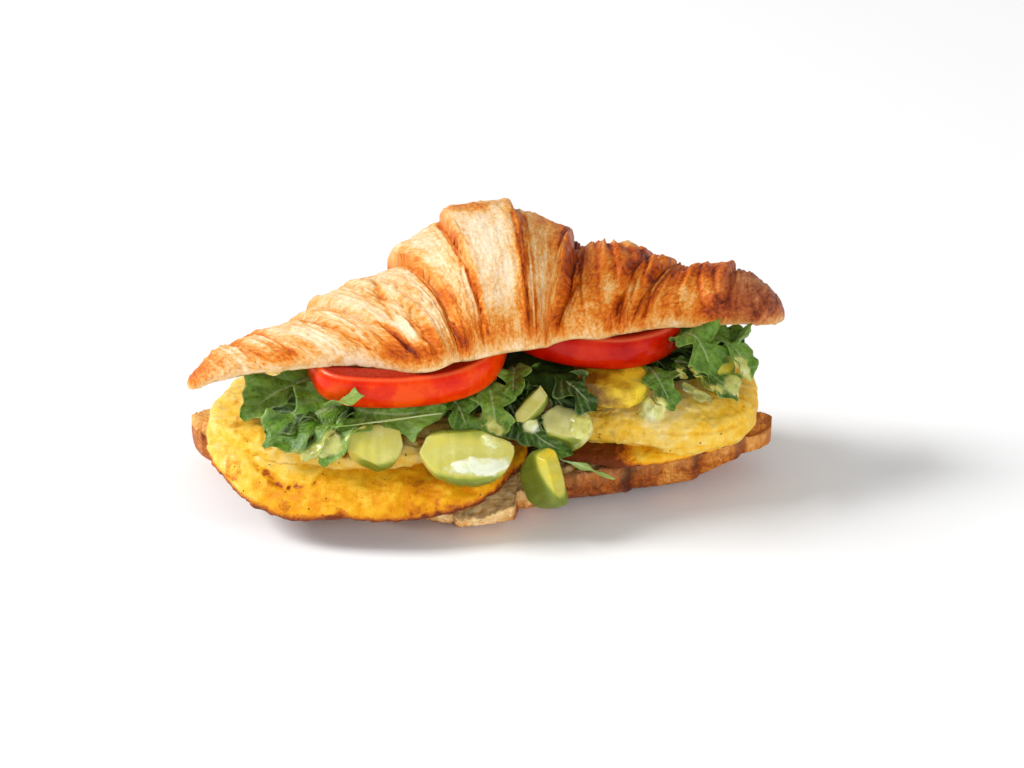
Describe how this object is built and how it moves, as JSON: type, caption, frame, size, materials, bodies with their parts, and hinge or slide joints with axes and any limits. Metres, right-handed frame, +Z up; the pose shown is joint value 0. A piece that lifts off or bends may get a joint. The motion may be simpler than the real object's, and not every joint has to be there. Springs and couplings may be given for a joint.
{
  "type": "breakfast sandwich",
  "caption": "Split croissant filled with folded omelettes, arugula, avocado slices, green dressing and thick tomato slices, lying flat with its open side to the front.",
  "frame": {"origin": "middle of the sandwich's bounding box, at its base", "axes": "+X along the croissant's length, -Y towards the open front where the filling shows, +Z up"},
  "size_m": [0.169, 0.0844, 0.0819],
  "materials": {
    "crust": "golden baked flaky crust, pale in the folds and darker on the ridges",
    "crust_base": "browned flaky crust with a paler cut edge",
    "egg": "soft yellow egg with browned skin and pepper specks",
    "tomato": "wet red skin and flesh",
    "avocado": "smooth yellow flesh, green at the rim",
    "dressing": "pale green creamy sauce",
    "arugula": "fresh green leaves with paler veins"
  },
  "bodies": {
    "root": {"croissant_bottom": "crust_base", "croissant_top": "crust", "omelette_left": "egg", "omelette_right": "egg", "tomato_left": "tomato", "tomato_right": "tomato", "avocado_1": "avocado", "avocado_2": "avocado", "avocado_3": "avocado", "avocado_4": "avocado", "avocado_5": "avocado", "avocado_6": "avocado", "avocado_7": "avocado", "avocado_8": "avocado", "avocado_9": "avocado", "dressing_1": "dressing", "dressing_2": "dressing", "dressing_3": "dressing", "arugula": "arugula"}
  },
  "joints": []
}
